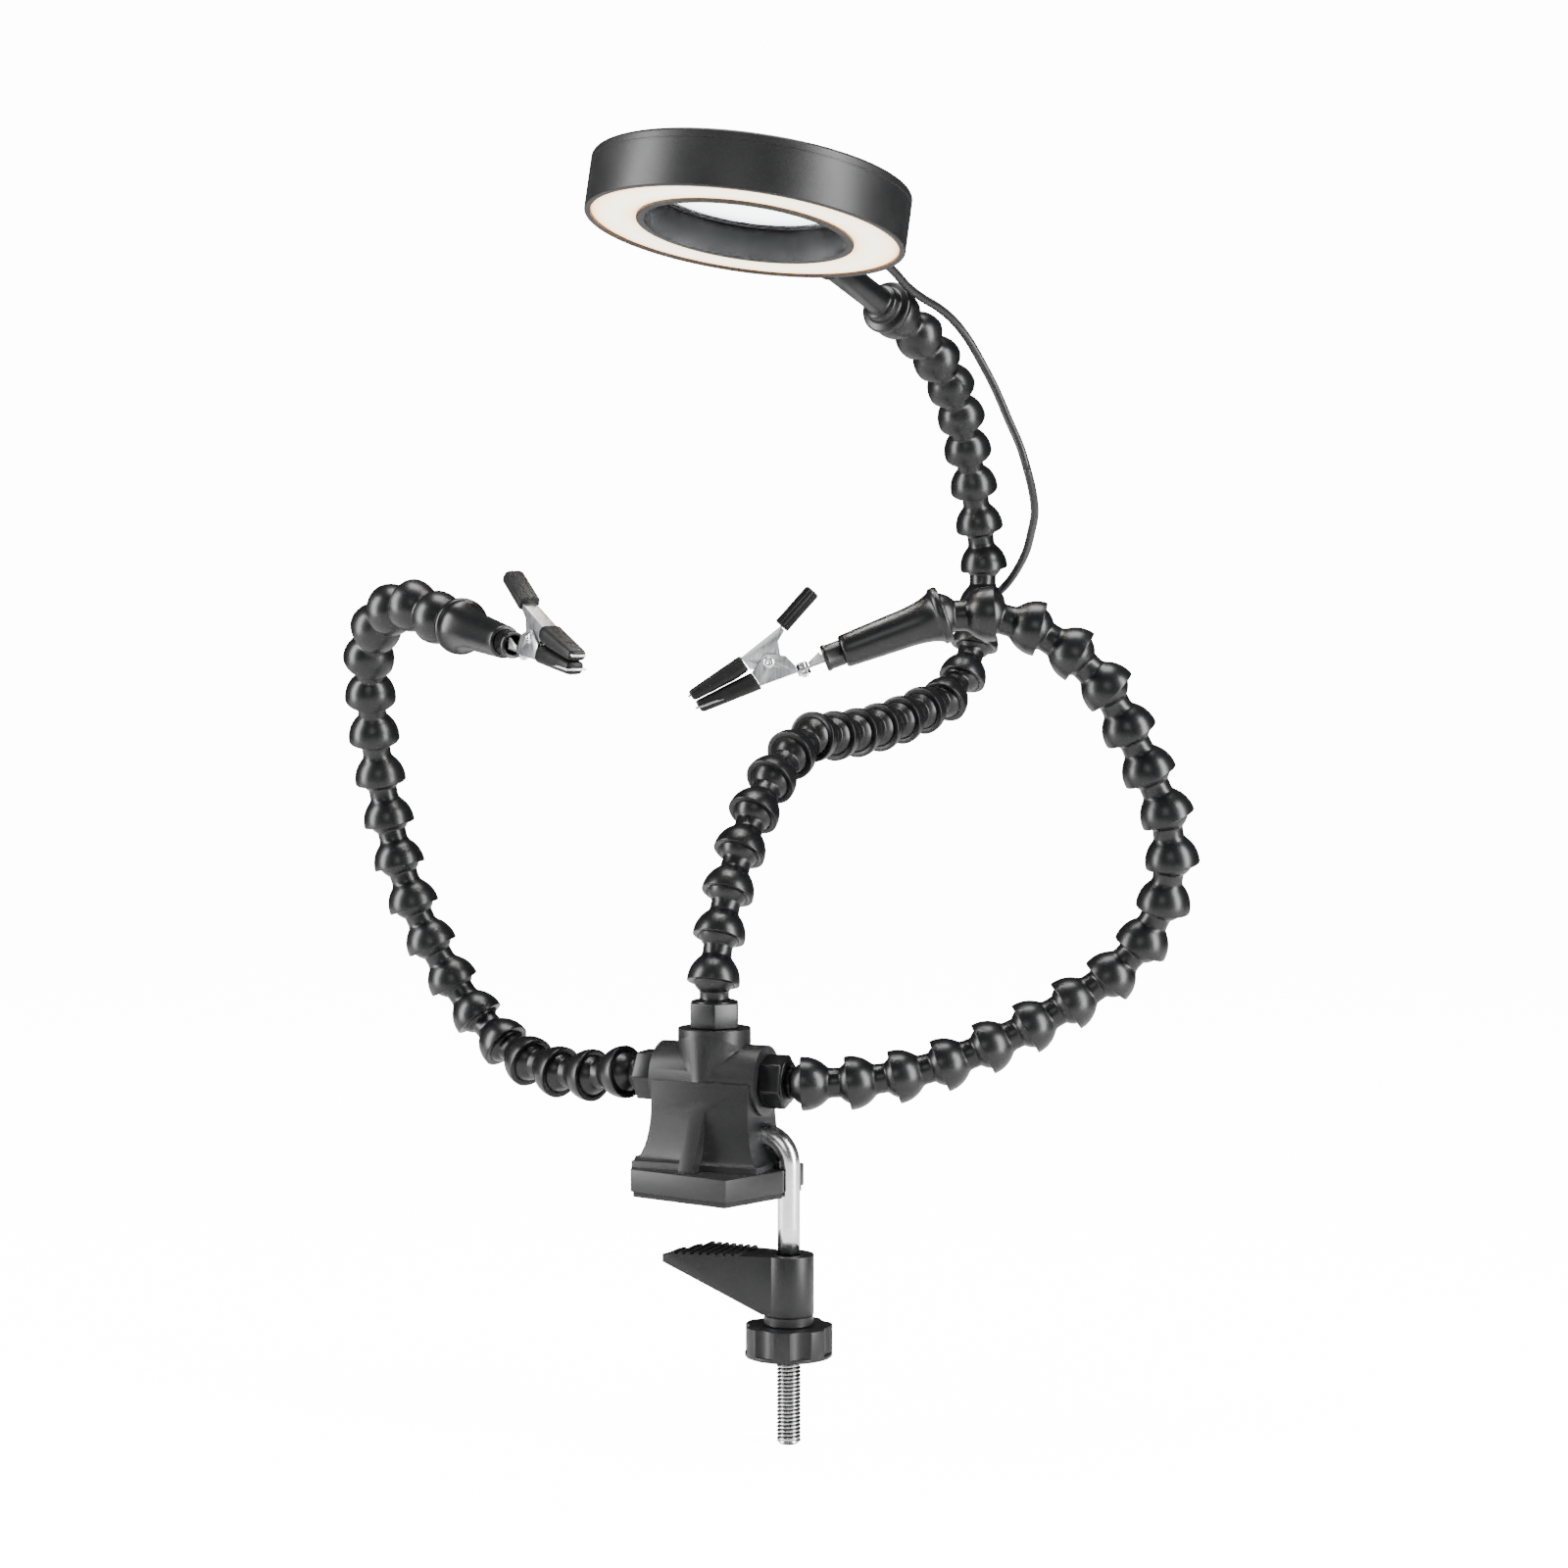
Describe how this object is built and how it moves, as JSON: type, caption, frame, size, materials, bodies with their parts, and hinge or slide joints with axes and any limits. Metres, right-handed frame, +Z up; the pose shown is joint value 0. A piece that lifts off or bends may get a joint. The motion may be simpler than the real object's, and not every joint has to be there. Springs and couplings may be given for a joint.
{
  "type": "helping hands clamp",
  "caption": "Table-edge clamp carrying two ball-and-socket hoses with spring clips and one with a lit ring magnifier lamp.",
  "frame": {"origin": "on the rubber pad's lower face, where the clamp sits on the table, below the block's vertical axis", "axes": "+Z up out of the table, +X along the side sockets towards the clamp rod, +Y to the back, away from the clips' working side"},
  "size_m": [0.2932, 0.2866, 0.4203],
  "materials": {
    "matte_black_plastic": "satin moulded black plastic",
    "gloss_black_plastic": "glossy moulded black plastic",
    "black_rubber": "matt black rubber",
    "bright_steel": "bright plated steel",
    "clip_steel": "light grey plated sheet steel",
    "spring_steel": "dark drawn spring wire",
    "brass": "turned brass",
    "soft_black_sleeve": "soft black vinyl",
    "diffuser_white": "frosted warm white, lit",
    "lens_glass": "clear polished glass",
    "board_white": "white circuit board",
    "lead_jacket": "smooth black cable jacket"
  },
  "bodies": {
    "base": {"base_block": "matte_black_plastic", "base_pad": "black_rubber", "clamp_rod": "bright_steel", "left_connector": "gloss_black_plastic", "right_connector": "gloss_black_plastic", "lamp_connector": "gloss_black_plastic", "lead_on_block": "lead_jacket", "lead_tail": "lead_jacket", "lead_coil": "lead_jacket", "usb_shell": "bright_steel", "usb_grip": "matte_black_plastic"},
    "collar": {"thrust_collar": "matte_black_plastic"},
    "jaw": {"clamp_jaw": "matte_black_plastic"},
    "wheel": {"hand_wheel": "matte_black_plastic", "wheel_nut": "brass"},
    "left_hose_1": {"left_beads_1": "gloss_black_plastic"},
    "left_hose_2": {"left_beads_2": "gloss_black_plastic"},
    "left_hose_3": {"left_beads_3": "gloss_black_plastic"},
    "left_hose_4": {"left_beads_4": "gloss_black_plastic"},
    "left_hose_5": {"left_beads_5": "gloss_black_plastic"},
    "right_hose_1": {"right_beads_1": "gloss_black_plastic"},
    "right_hose_2": {"right_beads_2": "gloss_black_plastic"},
    "right_hose_3": {"right_beads_3": "gloss_black_plastic"},
    "right_hose_4": {"right_beads_4": "gloss_black_plastic"},
    "right_hose_5": {"right_beads_5": "gloss_black_plastic"},
    "lamp_hose_1": {"lamp_beads_1": "gloss_black_plastic", "lead_on_beads_1": "lead_jacket"},
    "lamp_hose_2": {"lamp_beads_2": "gloss_black_plastic", "lead_on_beads_2": "lead_jacket"},
    "lamp_hose_3": {"lamp_beads_3": "gloss_black_plastic", "lead_on_beads_3": "lead_jacket"},
    "lamp_hose_4": {"lamp_beads_4": "gloss_black_plastic", "lead_on_beads_4": "lead_jacket"},
    "lamp_hose_5": {"lamp_beads_5": "gloss_black_plastic", "lead_bow": "lead_jacket"},
    "left_holder": {"left_clip_holder": "gloss_black_plastic", "left_clip_collar": "gloss_black_plastic"},
    "left_clip": {"left_clip_frame": "clip_steel", "left_clip_jaw_sleeve": "soft_black_sleeve", "left_clip_rivet": "bright_steel", "left_clip_spring": "spring_steel", "left_clip_screw": "bright_steel"},
    "left_lever": {"left_clip_lever": "clip_steel", "left_clip_lever_sleeves": "soft_black_sleeve"},
    "right_holder": {"right_clip_holder": "gloss_black_plastic", "right_clip_collar": "gloss_black_plastic"},
    "right_clip": {"right_clip_frame": "clip_steel", "right_clip_jaw_sleeve": "soft_black_sleeve", "right_clip_rivet": "bright_steel", "right_clip_spring": "spring_steel", "right_clip_screw": "bright_steel"},
    "right_lever": {"right_clip_lever": "clip_steel", "right_clip_lever_sleeves": "soft_black_sleeve"},
    "lamp_head": {"lamp_stalk": "gloss_black_plastic", "lamp_housing": "matte_black_plastic", "lamp_barrel": "matte_black_plastic", "lamp_diffuser": "diffuser_white", "lamp_lens": "lens_glass", "lamp_led_board": "board_white"}
  },
  "joints": [
    {"name": "left_bend_1", "type": "hinge", "parent": "base", "child": "left_hose_1", "pos_m": [-0.034, 0, 0.037], "axis": [-0.1611, -0.8827, 0.4414], "range_deg": [-16, 16]},
    {"name": "left_bend_2", "type": "hinge", "parent": "left_hose_1", "child": "left_hose_2", "pos_m": [-0.08891, 0.02062, 0.04245], "axis": [0.5167, 0.744, 0.4237], "range_deg": [-18, 5]},
    {"name": "left_bend_3", "type": "hinge", "parent": "left_hose_2", "child": "left_hose_3", "pos_m": [-0.12197, 0.01823, 0.09013], "axis": [-0.763, -0.547, -0.3445], "range_deg": [-18, 18]},
    {"name": "left_bend_4", "type": "hinge", "parent": "left_hose_3", "child": "left_hose_4", "pos_m": [-0.13181, 0.00996, 0.14814], "axis": [0.6701, 0.7166, 0.1937], "range_deg": [-18, 14]},
    {"name": "left_bend_5", "type": "hinge", "parent": "left_hose_4", "child": "left_hose_5", "pos_m": [-0.10696, -0.0197, 0.18962], "axis": [-0.3237, -0.1015, 0.9407], "range_deg": [-16, 16]},
    {"name": "left_holder_tilt", "type": "hinge", "parent": "left_hose_5", "child": "left_holder", "pos_m": [-0.06908, -0.04254, 0.18402], "axis": [-0.3237, -0.2004, -0.9247], "range_deg": [-18, 18]},
    {"name": "right_bend_1", "type": "hinge", "parent": "base", "child": "right_hose_1", "pos_m": [0.034, 0, 0.037], "axis": [0.1617, -0.9769, -0.1396], "range_deg": [-16, 16]},
    {"name": "right_bend_2", "type": "hinge", "parent": "right_hose_1", "child": "right_hose_2", "pos_m": [0.08867, 0.01965, 0.04979], "axis": [0.2998, -0.9422, 0.1499], "range_deg": [-18, 18]},
    {"name": "right_bend_3", "type": "hinge", "parent": "right_hose_2", "child": "right_hose_3", "pos_m": [0.13396, 0.0373, 0.08382], "axis": [0.6186, 0.629, -0.4709], "range_deg": [-17, 17]},
    {"name": "right_bend_4", "type": "hinge", "parent": "right_hose_3", "child": "right_hose_4", "pos_m": [0.13763, 0.02671, 0.13973], "axis": [0.9029, -0.3577, 0.2385], "range_deg": [-18, 18]},
    {"name": "right_bend_5", "type": "hinge", "parent": "right_hose_4", "child": "right_hose_5", "pos_m": [0.11737, 0.0115, 0.17631], "axis": [0.6868, -0.2081, 0.6965], "range_deg": [-18, 18]},
    {"name": "right_holder_tilt", "type": "hinge", "parent": "right_hose_5", "child": "right_holder", "pos_m": [0.0778, -0.00328, 0.18729], "axis": [0.3551, -0.9254, 0.1321], "range_deg": [-18, 7]},
    {"name": "lamp_bend_1", "type": "hinge", "parent": "base", "child": "lamp_hose_1", "pos_m": [0, 0, 0.071], "axis": [0, -0.9859, 0.1675], "range_deg": [-15, 15]},
    {"name": "lamp_bend_2", "type": "hinge", "parent": "lamp_hose_1", "child": "lamp_hose_2", "pos_m": [0.00459, 0.03916, 0.13349], "axis": [-0.9831, 0.1817, -0.0233], "range_deg": [-18, 13]},
    {"name": "lamp_bend_3", "type": "hinge", "parent": "lamp_hose_2", "child": "lamp_hose_3", "pos_m": [0.01645, 0.11006, 0.14849], "axis": [-0.2244, 0.1678, -0.9599], "range_deg": [-18, 18]},
    {"name": "lamp_bend_4", "type": "hinge", "parent": "lamp_hose_3", "child": "lamp_hose_4", "pos_m": [0.02936, 0.17355, 0.17884], "axis": [0.9809, -0.194, 0.0108], "range_deg": [-18, 9]},
    {"name": "lamp_bend_5", "type": "hinge", "parent": "lamp_hose_4", "child": "lamp_hose_5", "pos_m": [0.02941, 0.16292, 0.24933], "axis": [-0.1963, 0.7874, 0.5844], "range_deg": [-18, 18], "deforming": ["lead_on_beads_4"]},
    {"name": "lamp_tilt", "type": "hinge", "parent": "lamp_hose_5", "child": "lamp_head", "pos_m": [0.02394, 0.10334, 0.29245], "axis": [0.9387, -0.0543, 0.3404], "range_deg": [-18, 18], "deforming": ["lead_bow"]},
    {"name": "left_clip_spin", "type": "hinge", "parent": "left_holder", "child": "left_clip", "pos_m": [-0.06908, -0.04254, 0.18402], "axis": [0.7911, -0.5934, -0.1483], "continuous": true},
    {"name": "left_clip_open", "type": "hinge", "parent": "left_clip", "child": "left_lever", "pos_m": [-0.02545, -0.07526, 0.18089], "axis": [-0.6, -0.8, 0], "range_deg": [0, 22], "stiffness_Nm_per_rad": 0.12, "springref_deg": -51.57},
    {"name": "right_clip_spin", "type": "hinge", "parent": "right_holder", "child": "right_clip", "pos_m": [0.0778, -0.00328, 0.18729], "axis": [-0.8572, -0.3788, -0.3489], "continuous": true},
    {"name": "right_clip_open", "type": "hinge", "parent": "right_clip", "child": "right_lever", "pos_m": [0.02957, -0.02459, 0.173], "axis": [-0.4042, 0.9147, 0], "range_deg": [0, 22], "stiffness_Nm_per_rad": 0.12, "springref_deg": -51.57},
    {"name": "wheel_spin", "type": "hinge", "parent": "collar", "child": "wheel", "pos_m": [0.0262, 0, -0.047], "axis": [0, 0, 1], "range_deg": [-7200, 4680]},
    {"name": "jaw_lift", "type": "slide", "parent": "base", "child": "collar", "axis": [0, 0, 1], "range_m": [-0.0252, 0.0164]},
    {"name": "jaw_swivel", "type": "hinge", "parent": "collar", "child": "jaw", "pos_m": [0.0262, 0, -0.03], "axis": [0, 0, 1], "continuous": true}
  ],
  "couplings": [
    {"joint": "jaw_lift", "follows": "wheel_spin", "m_per_rad": 0.00019894}
  ]
}
